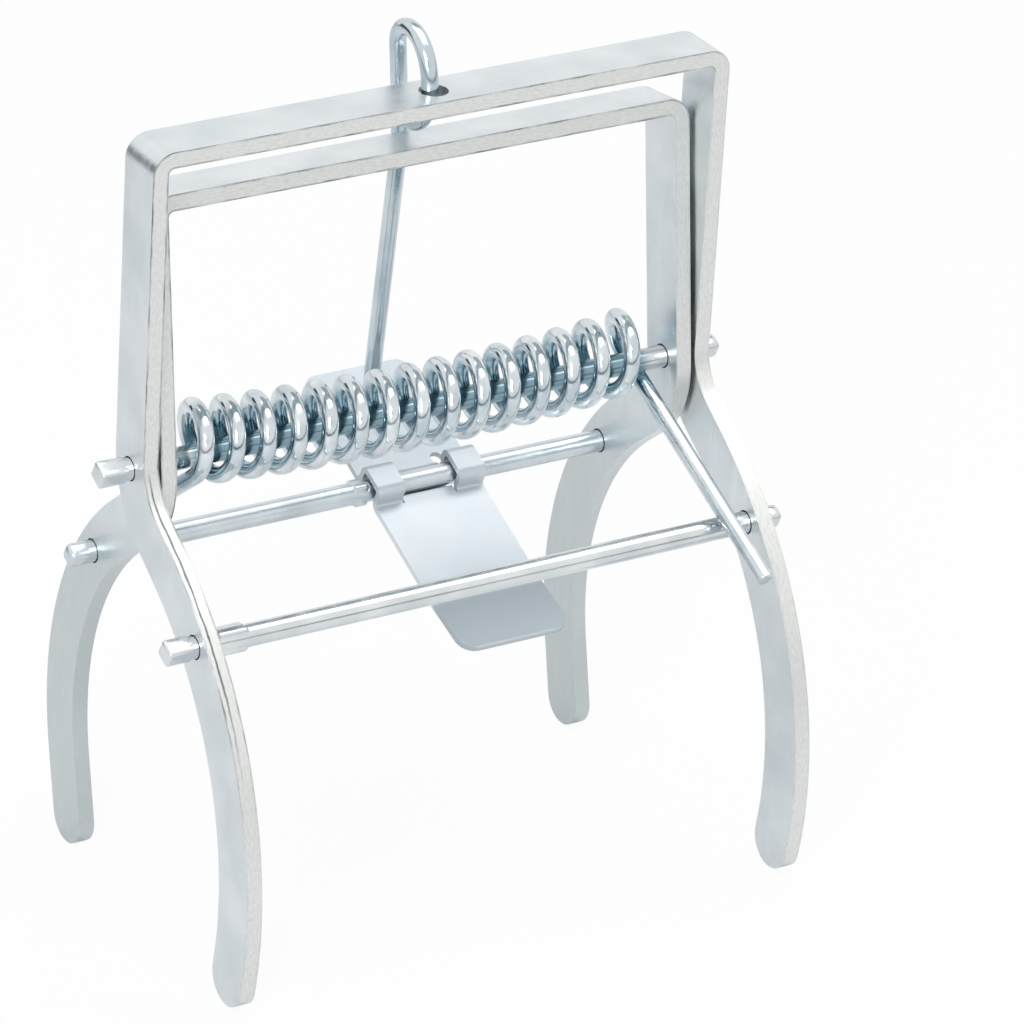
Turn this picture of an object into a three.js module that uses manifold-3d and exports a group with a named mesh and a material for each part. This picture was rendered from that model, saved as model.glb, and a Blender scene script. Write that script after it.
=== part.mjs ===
// A sprung mole trap, set: two nested strap frames that cross at an axle like a clothes peg,
// four claws, a torsion spring, a trigger plate that hangs from the rear rod, and a latch rod
// that hangs from the outer frame's bar by an eye. Sizes are millimetres. X runs along the
// rods, Y runs to the back, Z is up, and the claw tips stand at Z = 0 below the axle. Places
// are measured from the middle of the axle, and one group lifts them all by the axle's height.

import * as THREE from 'three';
import { mergeVertices } from 'three/addons/utils/BufferGeometryUtils.js';
import Module from 'manifold-3d';

const wasm = await Module();
wasm.setup();

const degree = Math.PI / 180;

// Stock that the trap is made of
const strapWidth = 9.7;
const strapThickness = 3;
const rodDiameter = 4;
const springWire = 3;
const latchWire = 3;
const sheet = 1.1;

// Clearances
const nestGap = 0.6;
const rodPlay = 0.35;
const contactGap = 0.3;
const cutOverrun = 2;

// Axle and frames
const axleHeight = 85;
const outerWidth = 113.2;
const outerRise = 59.7;
const outerLean = 1.7 * degree;
const barStep = 11.2;
const innerLean = 5.95 * degree;
const frameBend = 3;
const legOverlap = 3;

// Claws: a tight turn outwards below the axle, a short run, a wide sweep back down that takes
// up the height to the floor, and a straight tip
const frontClaw = {
  drop: 0.5, turn: 57 * degree, radius: 8.5, run: 9.5, sweep: 66.5 * degree, tip: 2,
};
const rearClaw = {
  drop: 0.5, turn: 58.5 * degree, radius: 13, run: 5.5, sweep: 63 * degree, tip: 12.2,
};

// Cross rods, from the axle's line
const frontRodBack = -23.7;
const frontRodDrop = 23.2;
const rearRodBack = 19.3;
const rearRodDrop = 24.4;
const axlePast = { left: 6.3, right: 4.6 };
const frontRodPast = { left: 5.8, right: 3.8 };
const rearRodPast = { left: 5, right: 5 };

// Rod ends crimped square, a corner up, and the flattened stretches between
const crimpStandOff = 1.2;
const crimpSide = 3.6;
const crimpTurn = 28 * degree;
const crimpBlend = 0.9;
const padLength = 5;
const padTall = 5.1;
const padDeep = 3.4;
const squareness = 5;
const roundness = 2;
const markLength = 2;
const markTall = 4.5;

// Torsion spring
const coilDiameter = 15.6;
const coilBeside = { left: 6.86, right: 8.3 };
const coilTops = 15;
const coilSag = 1.6;
const coilRise = 2.45;
const coilSpread = 2;
const stepsPerCurl = 16;
const wireSides = 8;
const frontLegPast = 16;
const rearLegPast = 5;
const frontLegDrift = 3;
const rearLegDrift = 1.5;
const legSteps = 4;

// Trigger plate, in its own slope through the rear rod
const plateSlope = 26 * degree;
const plateMiddle = 13;
const plateWidth = 22;
const earWidth = 5.6;
const slit = 0.4;
const plateBelowRod = 0.9;
const flagLength = 27.4;
const tongueLength = 25;
const lipLength = 13;
const lipTurn = 5.5 * degree;
const flagCorner = 3;
const lipCorner = 3.2;
const reliefHole = 2.4;
const earCorner = 1;
const lipRadius = 4;

// Latch rod: the eye is longer than it is wide and leans back a little
const eyeHalfWidth = 6.5;
const eyeHalfHeight = 8.3;
const eyeLean = 7.5 * degree;
const eyeTurn = 316 * degree;
const eyeBehindHole = 7;
const eyeAboveBar = 0.3;
const eyeSide = -0.45;
const latchOffset = -0.2;
const latchHole = 5.9;
const neckSlope = 15 * degree;
const neckSide = 4.6;
const neckBack = 16.6;
const neckDrop = 15.7;
const neckBend = 6;
const latchTipBack = 38.2;
const latchTipSide = 13.2;
const latchTipGap = 0.75;

// Smoothness
const arcStep = 6 * degree;
const rodSides = 24;
const holeSides = 32;
const latchSides = 12;
const eyeSteps = 36;
const bendSteps = 4;

// Derived places
const halfStrap = strapWidth / 2;
const halfSheet = sheet / 2;
const rodRadius = rodDiameter / 2;
const holeRadius = rodRadius + rodPlay;
const outerHalf = outerWidth / 2;
const innerHalf = outerHalf - strapThickness - nestGap;
const innerRise = outerRise - barStep;
const axleLine = new THREE.Vector3();
const frontRodLine = new THREE.Vector3(0, frontRodBack, -frontRodDrop);
const rearRodLine = new THREE.Vector3(0, rearRodBack, -rearRodDrop);

const quarterTurn = Math.PI / 2;
const xAxis = new THREE.Vector3(1, 0, 0);
const yAxis = new THREE.Vector3(0, 1, 0);
const zAxis = new THREE.Vector3(0, 0, 1);

// Helpers

function solidOf(geometry) {
  const bare = geometry.clone();
  bare.deleteAttribute('normal');
  bare.deleteAttribute('uv');
  const welded = mergeVertices(bare, 1e-4);
  return new wasm.Manifold(new wasm.Mesh({
    numProp: 3,
    vertProperties: Float32Array.from(welded.attributes.position.array),
    triVerts: Uint32Array.from(welded.index.array),
  }));
}

function geometryOf(solid) {
  const mesh = solid.getMesh();
  const geometry = new THREE.BufferGeometry();
  geometry.setAttribute('position', new THREE.BufferAttribute(mesh.vertProperties, mesh.numProp));
  geometry.setIndex(new THREE.BufferAttribute(mesh.triVerts, 1));
  return geometry;
}

function joined(geometries) {
  return geometries.map(solidOf).reduce((whole, next) => whole.add(next));
}

function named(name, geometry, material, place) {
  const flat = geometry.index ? geometry.toNonIndexed() : geometry;
  flat.computeVertexNormals();
  const mesh = new THREE.Mesh(flat, material);
  mesh.name = name;
  mesh.applyMatrix4(place);
  return mesh;
}

const at = (line) => new THREE.Matrix4().setPosition(line);

// A strip of constant width along a path of runs and turns; a turn to the left is positive
function ribbon({ start, heading, width, moves, roundTip = false }) {
  const half = width / 2;
  const left = [];
  const right = [];
  let at = start.clone();
  let angle = heading;
  const mark = () => {
    const across = new THREE.Vector2(-Math.sin(angle), Math.cos(angle));
    left.push(at.clone().addScaledVector(across, half));
    right.push(at.clone().addScaledVector(across, -half));
  };
  mark();
  for (const move of moves) {
    if (move.run) {
      at = at.clone().add(new THREE.Vector2(Math.cos(angle), Math.sin(angle)).multiplyScalar(move.run));
      mark();
      continue;
    }
    const total = move.turn;
    const side = Math.sign(total);
    const across = new THREE.Vector2(-Math.sin(angle), Math.cos(angle));
    const centre = at.clone().addScaledVector(across, side * move.radius);
    const steps = Math.max(2, Math.ceil(Math.abs(total) / arcStep));
    for (let step = 1; step <= steps; step += 1) {
      const turned = angle + total / steps;
      const back = new THREE.Vector2(-Math.sin(turned), Math.cos(turned));
      at = centre.clone().addScaledVector(back, -side * move.radius);
      angle = turned;
      mark();
    }
  }
  const tip = [];
  if (roundTip) {
    const steps = Math.ceil(Math.PI / (2 * arcStep));
    for (let step = 1; step < steps; step += 1) {
      const around = angle + Math.PI / 2 - (Math.PI * step) / steps;
      tip.push(at.clone().add(new THREE.Vector2(Math.cos(around), Math.sin(around)).multiplyScalar(half)));
    }
  }
  return new THREE.Shape([...left, ...tip, ...right.reverse()]);
}

// A flat slab: its outline is drawn along `across` and `up`, its thickness runs from `from` to `to`
function slab(shape, { origin, across, up, from, to }) {
  const geometry = new THREE.ExtrudeGeometry(shape, { depth: to - from, bevelEnabled: false });
  geometry.translate(0, 0, from);
  const along = across.clone().cross(up);
  const place = new THREE.Matrix4().makeBasis(across, up, along).setPosition(origin);
  return geometry.applyMatrix4(place);
}

function rodCutter(line, radius, halfLength) {
  const geometry = new THREE.CylinderGeometry(radius, radius, 2 * halfLength, holeSides);
  geometry.rotateZ(Math.PI / 2);
  return solidOf(geometry.translate(line.x, line.y, line.z));
}

// A bar along X through stations { x, deep, tall, power, turned }; power 2 is round, more is squarer
function loftedRod(stations) {
  const positions = [];
  const ringAt = ({ x, deep, tall, power, turned = 0 }) => {
    const points = [];
    for (let side = 0; side < rodSides; side += 1) {
      const turn = (2 * Math.PI * side) / rodSides;
      const flat = (2 * Math.abs(Math.cos(turn - turned))) / deep;
      const high = (2 * Math.abs(Math.sin(turn - turned))) / tall;
      const radius = (flat ** power + high ** power) ** (-1 / power);
      points.push(new THREE.Vector3(x, radius * Math.cos(turn), radius * Math.sin(turn)));
    }
    return points;
  };
  const rings = stations.map(ringAt);
  const triangle = (a, b, c) => positions.push(...a.toArray(), ...b.toArray(), ...c.toArray());
  for (let ring = 0; ring + 1 < rings.length; ring += 1) {
    for (let side = 0; side < rodSides; side += 1) {
      const next = (side + 1) % rodSides;
      triangle(rings[ring][side], rings[ring][next], rings[ring + 1][next]);
      triangle(rings[ring][side], rings[ring + 1][next], rings[ring + 1][side]);
    }
  }
  const first = new THREE.Vector3(stations[0].x, 0, 0);
  const last = new THREE.Vector3(stations[stations.length - 1].x, 0, 0);
  for (let side = 0; side < rodSides; side += 1) {
    const next = (side + 1) % rodSides;
    triangle(first, rings[0][next], rings[0][side]);
    triangle(last, rings[rings.length - 1][side], rings[rings.length - 1][next]);
  }
  const geometry = new THREE.BufferGeometry();
  geometry.setAttribute('position', new THREE.Float32BufferAttribute(positions, 3));
  return geometry;
}

const round = (x) => ({ x, deep: rodDiameter, tall: rodDiameter, power: roundness });
const crimp = (x) => ({
  x, deep: crimpSide, tall: crimpSide, power: squareness, turned: crimpTurn,
});
const pad = (x) => ({ x, deep: padDeep, tall: padTall, power: squareness });
const mark = (x) => ({ x, deep: padDeep, tall: markTall, power: squareness });

// Strap frames

// Unit vectors of a leg that leans: `out` is the side that its claws reach to, -1 front, 1 back
function legAxes(out, lean) {
  return {
    out: new THREE.Vector3(0, out * Math.cos(lean), -Math.sin(lean)),
    up: new THREE.Vector3(0, out * Math.sin(lean), Math.cos(lean)),
  };
}

// The radius of the wide sweep with which the claw's round tip just touches the floor
function sweepRadius(claw, lean) {
  const turned = claw.turn;
  const ended = turned - claw.sweep;
  const outAt = claw.radius * (1 - Math.cos(turned)) + claw.run * Math.sin(turned);
  const downAt = claw.drop + claw.radius * Math.sin(turned) + claw.run * Math.cos(turned);
  const above = downAt * Math.cos(lean) + outAt * Math.sin(lean);
  const below = claw.tip * Math.cos(ended - lean) + halfStrap;
  const perRadius = (Math.sin(turned) - Math.sin(ended)) * Math.cos(lean)
    + (Math.cos(ended) - Math.cos(turned)) * Math.sin(lean);
  return (axleHeight - above - below) / perRadius;
}

// A frame is shaped upright about the axle, as (along the rods, out, up), and placed leaning
function strapFrame({ axes, lean, rise, half, claw, rodLine, cutters }) {
  const legTop = rise - frameBend - strapThickness;
  const leg = ribbon({
    start: new THREE.Vector2(0, legTop),
    heading: -quarterTurn,
    width: strapWidth,
    moves: [
      { run: legTop + claw.drop },
      { turn: claw.turn, radius: claw.radius },
      { run: claw.run },
      { turn: -claw.sweep, radius: sweepRadius(claw, lean) },
      { run: claw.tip },
    ],
    roundTip: true,
  });
  const inside = half - strapThickness;
  const middle = half - strapThickness / 2;
  const bend = frameBend + strapThickness / 2;
  const post = rise - strapThickness / 2 - bend - legTop + legOverlap;
  const arch = ribbon({
    start: new THREE.Vector2(-middle, legTop - legOverlap),
    heading: quarterTurn,
    width: strapThickness,
    moves: [
      { run: post },
      { turn: -quarterTurn, radius: bend },
      { run: 2 * (middle - bend) },
      { turn: -quarterTurn, radius: bend },
      { run: post },
    ],
  });
  const origin = new THREE.Vector3();
  const legSlab = (from, to) => slab(leg, { origin, across: yAxis, up: zAxis, from, to });
  const archSlab = slab(arch, { origin, across: xAxis, up: zAxis, from: -halfStrap, to: halfStrap });
  const rodAt = new THREE.Vector3(0, rodLine.dot(axes.out), rodLine.dot(axes.up));
  const blank = joined([archSlab, legSlab(inside, half), legSlab(-half, -inside)]);
  return geometryOf([
    rodCutter(origin, holeRadius, outerHalf + cutOverrun),
    rodCutter(rodAt, holeRadius, outerHalf + cutOverrun),
    ...cutters,
  ].reduce((frame, cutter) => frame.subtract(cutter), blank));
}

function leaned(axes) {
  return new THREE.Matrix4().makeBasis(axes.out.clone().cross(axes.up), axes.out, axes.up);
}

const outerAxes = legAxes(-1, outerLean);
const innerAxes = legAxes(1, innerLean);
const barHole = new THREE.Vector3(latchOffset, 0, 0).addScaledVector(outerAxes.up, outerRise);

function outerFrame() {
  const drill = new THREE.CylinderGeometry(
    latchHole / 2, latchHole / 2, 2 * (strapThickness + cutOverrun), holeSides,
  );
  drill.rotateX(Math.PI / 2);
  drill.translate(-latchOffset, 0, outerRise);
  return strapFrame({
    axes: outerAxes,
    lean: outerLean,
    rise: outerRise,
    half: outerHalf,
    claw: frontClaw,
    rodLine: frontRodLine,
    cutters: [solidOf(drill)],
  });
}

function innerFrame() {
  return strapFrame({
    axes: innerAxes,
    lean: innerLean,
    rise: innerRise,
    half: innerHalf,
    claw: rearClaw,
    rodLine: rearRodLine,
    cutters: [],
  });
}

// Rods

function crimpedEnds(half, past, inner) {
  const start = half + crimpStandOff;
  return [
    ...[-half - past.left, -start].map(crimp),
    round(-start + crimpBlend),
    ...inner,
    round(start - crimpBlend),
    ...[start, half + past.right].map(crimp),
  ];
}

function axle() {
  return loftedRod(crimpedEnds(outerHalf, axlePast, []));
}

// The pad beside the left leg keeps the front rod from sliding out
function frontRod() {
  const from = -(outerHalf - strapThickness - contactGap - crimpBlend);
  const to = from + padLength;
  return loftedRod(crimpedEnds(outerHalf, frontRodPast, [
    round(from - crimpBlend),
    ...[from, to].map(pad),
    round(to + crimpBlend),
  ]));
}

// The mark beside the trigger plate's left ear keeps the plate from sliding along
function rearRod() {
  const to = plateMiddle - plateWidth / 2 - contactGap - crimpBlend;
  const from = to - markLength;
  return loftedRod(crimpedEnds(innerHalf, rearRodPast, [
    round(from - crimpBlend),
    ...[from, to].map(mark),
    round(to + crimpBlend),
  ]));
}

// Torsion spring: coils about the axle, each leg straight along a tangent over its rod

function springPath() {
  const coilRadius = (coilDiameter - springWire) / 2;
  const coilRight = innerHalf - strapThickness - coilBeside.right;
  const coilLeft = -(innerHalf - strapThickness - coilBeside.left);
  const coilPitch = (coilRight - coilLeft) / (coilTops - 1);
  const halfSpan = (coilRight - coilLeft) / 2;
  const middleX = (coilRight + coilLeft) / 2;
  const lift = (x) => coilRise - coilSag * (1 - ((x - middleX) / halfSpan) ** 2);
  const reach = coilRadius + rodRadius + springWire / 2 + contactGap;
  // Angle at which the wire leaves the coil so that the leg passes just over its rod
  const leaving = (back, drop, rise) => {
    const away = Math.hypot(back, drop + rise);
    return Math.atan2(drop + rise, Math.abs(back)) - Math.asin(reach / away);
  };
  const right = leaving(frontRodBack, frontRodDrop, lift(coilRight));
  const left = leaving(rearRodBack, rearRodDrop, lift(coilLeft));
  const fromTurn = -(Math.PI - right);
  const toTurn = 2 * Math.PI * (coilTops - 1) + Math.PI - left;
  const coilAt = (turn) => {
    const spread = coilSpread * THREE.MathUtils.smoothstep(turn / fromTurn, 0, 1);
    const x = coilRight - (coilPitch * turn) / (2 * Math.PI) + spread;
    return new THREE.Vector3(
      x,
      -coilRadius * Math.sin(turn),
      lift(x) + coilRadius * Math.cos(turn),
    );
  };
  const steps = Math.round(((toTurn - fromTurn) / (2 * Math.PI)) * stepsPerCurl);
  const coils = [];
  for (let step = 0; step <= steps; step += 1) {
    coils.push(coilAt(fromTurn + ((toTurn - fromTurn) * step) / steps));
  }
  const legFrom = (start, slope, side, { rodBack, past, drift }) => {
    const along = new THREE.Vector3(0, side * Math.cos(slope), -Math.sin(slope));
    const length = Math.abs(rodBack - start.y) / Math.cos(slope) + past;
    const points = [];
    for (let step = 1; step <= legSteps; step += 1) {
      const share = step / legSteps;
      const point = start.clone().addScaledVector(along, length * share);
      point.x -= side * drift * share;
      points.push(point);
    }
    return points;
  };
  const frontLeg = legFrom(coils[0], right, -1, {
    rodBack: frontRodBack, past: frontLegPast, drift: frontLegDrift,
  });
  const rearLeg = legFrom(coils[coils.length - 1], left, 1, {
    rodBack: rearRodBack, past: rearLegPast, drift: rearLegDrift,
  });
  return [...frontLeg.reverse(), ...coils, ...rearLeg];
}

// A round wire along the path: each ring's frame is carried from the one before it
function wire(path, diameter, sides) {
  const positions = [];
  const rings = [];
  const directionAt = (index) => {
    const before = path[Math.max(0, index - 1)];
    const after = path[Math.min(path.length - 1, index + 1)];
    return after.clone().sub(before).normalize();
  };
  let side = new THREE.Vector3(1, 0, 0);
  path.forEach((point, index) => {
    const along = directionAt(index);
    side = side.clone().addScaledVector(along, -side.dot(along)).normalize();
    const other = along.clone().cross(side);
    const ring = [];
    for (let step = 0; step < sides; step += 1) {
      const turn = (2 * Math.PI * step) / sides;
      ring.push(point.clone()
        .addScaledVector(side, (Math.cos(turn) * diameter) / 2)
        .addScaledVector(other, (Math.sin(turn) * diameter) / 2));
    }
    rings.push(ring);
  });
  const triangle = (a, b, c) => positions.push(...a.toArray(), ...b.toArray(), ...c.toArray());
  for (let ring = 0; ring + 1 < rings.length; ring += 1) {
    for (let step = 0; step < sides; step += 1) {
      const next = (step + 1) % sides;
      triangle(rings[ring][step], rings[ring][next], rings[ring + 1][next]);
      triangle(rings[ring][step], rings[ring + 1][next], rings[ring + 1][step]);
    }
  }
  const lastRing = rings[rings.length - 1];
  for (let step = 0; step < sides; step += 1) {
    const next = (step + 1) % sides;
    triangle(path[0], rings[0][next], rings[0][step]);
    triangle(path[path.length - 1], lastRing[step], lastRing[next]);
  }
  const geometry = new THREE.BufferGeometry();
  geometry.setAttribute('position', new THREE.Float32BufferAttribute(positions, 3));
  return geometry;
}

// The least air between two stretches of the wire that lie more than half a curl apart
function leastSelfGap(path, diameter) {
  const apart = stepsPerCurl / 2;
  let least = Infinity;
  for (let one = 0; one < path.length; one += 1) {
    for (let two = one + apart; two < path.length; two += 1) {
      least = Math.min(least, path[one].distanceTo(path[two]) - diameter);
    }
  }
  return least;
}

function torsionSpring() {
  const path = springPath();
  console.log(`least gap of the spring to itself: ${leastSelfGap(path, springWire).toFixed(2)} mm`);
  return wire(path, springWire, wireSides);
}

// Trigger plate: the two ears arch over the rear rod, the band between them dips under it. It is
// shaped flat about the rod, as (along the rod, back, up), and placed sloping

const sheetReach = rodRadius + rodPlay + halfSheet;
const lipMoves = [{ turn: -lipTurn, radius: lipRadius }, { run: lipLength }];

// Both run from the rear edge forwards: up, over and down for an ear
function earMoves() {
  const corner = earCorner + halfSheet;
  const rise = sheetReach + plateBelowRod - 2 * corner;
  return [
    { run: flagLength - sheetReach - corner },
    { turn: -quarterTurn, radius: corner },
    { run: rise },
    { turn: quarterTurn, radius: corner },
    { run: 2 * (sheetReach - corner) },
    { turn: quarterTurn, radius: corner },
    { run: rise },
    { turn: -quarterTurn, radius: corner },
    { run: tongueLength - sheetReach - corner },
    ...lipMoves,
  ];
}

// and a shallow trough under the rod for the band between the ears
function troughMoves() {
  const corner = earCorner + halfSheet;
  const turned = Math.acos((corner + plateBelowRod) / (corner + sheetReach));
  const halfTrough = (corner + sheetReach) * Math.sin(turned);
  return [
    { run: flagLength - halfTrough },
    { turn: turned, radius: corner },
    { turn: -2 * turned, radius: sheetReach },
    { turn: turned, radius: corner },
    { run: tongueLength - halfTrough },
    ...lipMoves,
  ];
}

function plateBand(moves, fromX, toX) {
  const outline = ribbon({
    start: new THREE.Vector2(flagLength, -plateBelowRod),
    heading: Math.PI,
    width: sheet,
    moves,
  });
  return slab(outline, {
    origin: new THREE.Vector3(), across: yAxis, up: zAxis, from: fromX, to: toX,
  });
}

// The plate's outline with its rounded corners
function plateOutline() {
  const half = plateWidth / 2;
  const lipEnd = -(tongueLength + lipLength);
  const shape = new THREE.Shape();
  shape.moveTo(-half + lipCorner, lipEnd);
  shape.absarc(half - lipCorner, lipEnd + lipCorner, lipCorner, -Math.PI / 2, 0);
  shape.absarc(half - flagCorner, flagLength - flagCorner, flagCorner, 0, Math.PI / 2);
  shape.absarc(-half + flagCorner, flagLength - flagCorner, flagCorner, Math.PI / 2, Math.PI);
  shape.absarc(-half + lipCorner, lipEnd + lipCorner, lipCorner, Math.PI, 1.5 * Math.PI);
  return shape;
}

function triggerPlate() {
  const left = -plateWidth / 2;
  const right = plateWidth / 2;
  const flatMoves = [{ run: flagLength + tongueLength }, ...lipMoves];
  const bands = joined([
    plateBand(earMoves(), left, left + earWidth),
    plateBand(troughMoves(), left + earWidth + slit, right - earWidth - slit),
    plateBand(earMoves(), right - earWidth, right),
  ]);
  const whole = solidOf(plateBand(flatMoves, left, right));
  // Near the rod the plate is the three bands, elsewhere it is one sheet
  const zone = sheetReach + earCorner + sheet + slit;
  const tall = 2 * zone;
  const near = solidOf(new THREE.BoxGeometry(plateWidth + 2 * cutOverrun, 2 * zone, 2 * tall));
  const blank = new THREE.ExtrudeGeometry(plateOutline(), { depth: 2 * tall, bevelEnabled: false });
  const trimmed = whole.subtract(near)
    .add(bands.intersect(near))
    .intersect(solidOf(blank.translate(0, 0, -tall)));
  const slits = [left + earWidth + slit / 2, right - earWidth - slit / 2];
  const relieved = slits.reduce((plate, x) => {
    const drill = new THREE.CylinderGeometry(reliefHole / 2, reliefHole / 2, 2 * tall, holeSides);
    drill.rotateX(Math.PI / 2);
    return plate.subtract(solidOf(drill.translate(x, zone, 0)));
  }, trimmed);
  return geometryOf(relieved);
}

const platePlace = new THREE.Matrix4()
  .makeRotationX(plateSlope)
  .setPosition(plateMiddle, rearRodLine.y, rearRodLine.z);

// Latch rod: one wire from the tip on the flag up the shank and the neck, then round the eye and
// down through the bar's hole until its end almost meets the neck

const eyeCentre = barHole.clone()
  .addScaledVector(outerAxes.out, -eyeBehindHole)
  .addScaledVector(outerAxes.up, eyeAboveBar)
  .addScaledVector(xAxis, eyeSide);

function eyeAt(turn) {
  const back = new THREE.Vector3(0, Math.cos(eyeLean), -Math.sin(eyeLean));
  const up = new THREE.Vector3(0, Math.sin(eyeLean), Math.cos(eyeLean));
  return eyeCentre.clone()
    .addScaledVector(back, eyeHalfWidth * Math.cos(turn))
    .addScaledVector(up, eyeHalfHeight * Math.sin(turn));
}

function latchPath() {
  const flagTop = rearRodLine.z + (latchTipBack - rearRodLine.y) * Math.tan(plateSlope)
    - (plateBelowRod - halfSheet) / Math.cos(plateSlope);
  const tip = new THREE.Vector3(latchTipSide, latchTipBack, flagTop + latchTipGap);
  const neck = new THREE.Vector3(neckSide, neckBack, outerRise - neckDrop);
  // The wire leaves the eye where it runs down and back at the neck's slope
  const leavingLean = eyeLean + neckSlope;
  const backTurn = Math.atan((eyeHalfHeight / eyeHalfWidth) * Math.tan(leavingLean));
  const eye = [];
  for (let step = 0; step <= eyeSteps; step += 1) {
    eye.push(eyeAt(backTurn + ((eyeTurn - backTurn) * step) / eyeSteps));
  }
  const towards = (goal) => neck.clone()
    .addScaledVector(goal.clone().sub(neck).normalize(), neckBend);
  const bend = new THREE.QuadraticBezierCurve3(towards(tip), neck, towards(eye[0]));
  return [tip, ...bend.getPoints(bendSteps), ...eye];
}

function latchRod() {
  return wire(latchPath(), latchWire, latchSides);
}

// Materials

function zinc(hex, roughness) {
  return new THREE.MeshStandardMaterial({ color: hex, metalness: 0.9, roughness });
}

const strapZinc = zinc(0xcfd6d9, 0.38);
const innerZinc = zinc(0xcbd3d6, 0.38);
const rodZinc = zinc(0xd3d8da, 0.25);
const frontRodZinc = zinc(0xd1d7da, 0.25);
const rearRodZinc = zinc(0xcfd5d8, 0.25);
const springZinc = zinc(0xc4d0d6, 0.18);
const plateZinc = zinc(0xdde3e8, 0.42);
const latchZinc = zinc(0xb9cbd2, 0.2);

const trap = new THREE.Group();
trap.name = 'mole_trap';
const aboveFloor = new THREE.Group();
aboveFloor.position.z = axleHeight;
trap.add(aboveFloor);
aboveFloor.add(named('outer_frame', outerFrame(), strapZinc, leaned(outerAxes)));
aboveFloor.add(named('inner_frame', innerFrame(), innerZinc, leaned(innerAxes)));
aboveFloor.add(named('axle', axle(), rodZinc, at(axleLine)));
aboveFloor.add(named('front_rod', frontRod(), frontRodZinc, at(frontRodLine)));
aboveFloor.add(named('rear_rod', rearRod(), rearRodZinc, at(rearRodLine)));
aboveFloor.add(named('torsion_spring', torsionSpring(), springZinc, at(axleLine)));
aboveFloor.add(named('trigger_plate', triggerPlate(), plateZinc, platePlace));
aboveFloor.add(named('latch_rod', latchRod(), latchZinc, at(axleLine)));

export default trap;
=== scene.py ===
# %% [markdown]
# # A zinc-plated mole trap
# The trap is bent from flat strap, round rod, spring wire and one sheet of thin steel, and all
# of it is plated with bright zinc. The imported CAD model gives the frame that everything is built
# on. Each piece is modelled again here with the fine detail that a CAD solid leaves out: the
# sheared edges, the squared rod ends, the bevels that catch the light.

# %% Load the frame
import bpy
import bmesh
import math
from mathutils import Matrix, Quaternion, Vector


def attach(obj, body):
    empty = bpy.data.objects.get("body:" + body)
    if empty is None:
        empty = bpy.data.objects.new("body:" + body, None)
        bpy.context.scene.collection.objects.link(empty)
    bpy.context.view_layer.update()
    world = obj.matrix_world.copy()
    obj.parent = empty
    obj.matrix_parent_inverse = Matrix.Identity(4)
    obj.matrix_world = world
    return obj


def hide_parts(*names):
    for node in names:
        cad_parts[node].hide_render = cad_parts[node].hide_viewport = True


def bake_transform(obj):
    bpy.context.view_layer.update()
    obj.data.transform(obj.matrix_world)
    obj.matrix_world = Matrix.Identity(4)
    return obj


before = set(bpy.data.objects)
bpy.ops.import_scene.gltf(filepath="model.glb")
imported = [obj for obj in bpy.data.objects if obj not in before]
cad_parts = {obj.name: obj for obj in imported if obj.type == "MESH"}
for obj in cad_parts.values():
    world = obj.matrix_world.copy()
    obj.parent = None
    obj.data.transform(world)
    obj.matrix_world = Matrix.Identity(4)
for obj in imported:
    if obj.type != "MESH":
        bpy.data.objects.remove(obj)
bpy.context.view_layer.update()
scene = bpy.context.scene
print("CAD nodes:", sorted(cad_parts))

# %% [markdown]
# ## The camera
# The photograph was taken from far away through a long lens, which keeps the two bars almost
# parallel. The camera stands in front of the trap, to its left and a little above it. Its place
# comes from matching the trap's own corners, so the numbers aren't round.

# %% Camera
MM = 0.001
camera_place = Vector((-578.75, -951.85, 589.50)) * MM
camera_azimuth = math.radians(-32.18)
camera_elevation = math.radians(25.18)
camera_roll = math.radians(2.47)

bpy.ops.object.camera_add(location=camera_place)
camera = bpy.context.object
camera.name = "long_lens_camera"
sight = Vector((
    -math.sin(camera_azimuth) * math.cos(camera_elevation),
    math.cos(camera_azimuth) * math.cos(camera_elevation),
    -math.sin(camera_elevation),
))
camera.rotation_mode = "QUATERNION"
level = (-sight).to_track_quat("Z", "Y")
camera.rotation_quaternion = level @ Quaternion((0, 0, 1), camera_roll)
camera.data.sensor_width = 36
camera.data.lens = 248.55
camera.data.clip_start = 0.05
camera.data.clip_end = 20
camera.data.dof.use_dof = False
scene.camera = camera
scene.view_settings.view_transform = "Standard"
print("camera is", round(camera_place.length, 3), "m from the middle of the floor")

# %% [markdown]
# ## Colours and nodes
# A colour is easiest to read as the hex value that a picture shows, but a shader works with
# linear light, so one function turns the one into the other. A second small function adds a node
# with its settings and its links. The others add the kinds of node that come back most often, so
# that each material stays short enough to read.

# %% Helpers for colours and nodes
def linear(hex_value):
    channels = [int(hex_value[at:at + 2], 16) / 255 for at in (0, 2, 4)]
    return tuple(c / 12.92 if c <= 0.04045 else ((c + 0.055) / 1.055) ** 2.4 for c in channels) + (1,)


def add_node(tree, kind, links=None, **settings):
    node = tree.nodes.new("ShaderNode" + kind)
    for name, value in settings.items():
        if name in node.inputs:
            node.inputs[name].default_value = value
        else:
            setattr(node, name, value)
    for socket, source in (links or {}).items():
        tree.links.new(source, node.inputs[socket])
    return node


def new_material(name):
    material = bpy.data.materials.new(name)
    material.use_nodes = True
    tree = material.node_tree
    tree.nodes.clear()
    return material, tree


# %% Helpers for the nodes that come back most often
def feed(tree, node, slot, term):
    """Links a socket to the slot, or sets the slot to a plain value."""
    if isinstance(term, bpy.types.NodeSocket):
        tree.links.new(term, node.inputs[slot])
    else:
        node.inputs[slot].default_value = term


def calculate(tree, operation, *terms):
    node = add_node(tree, "Math", operation=operation)
    for slot, term in enumerate(terms):
        feed(tree, node, slot, term)
    return node.outputs[0]


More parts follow.
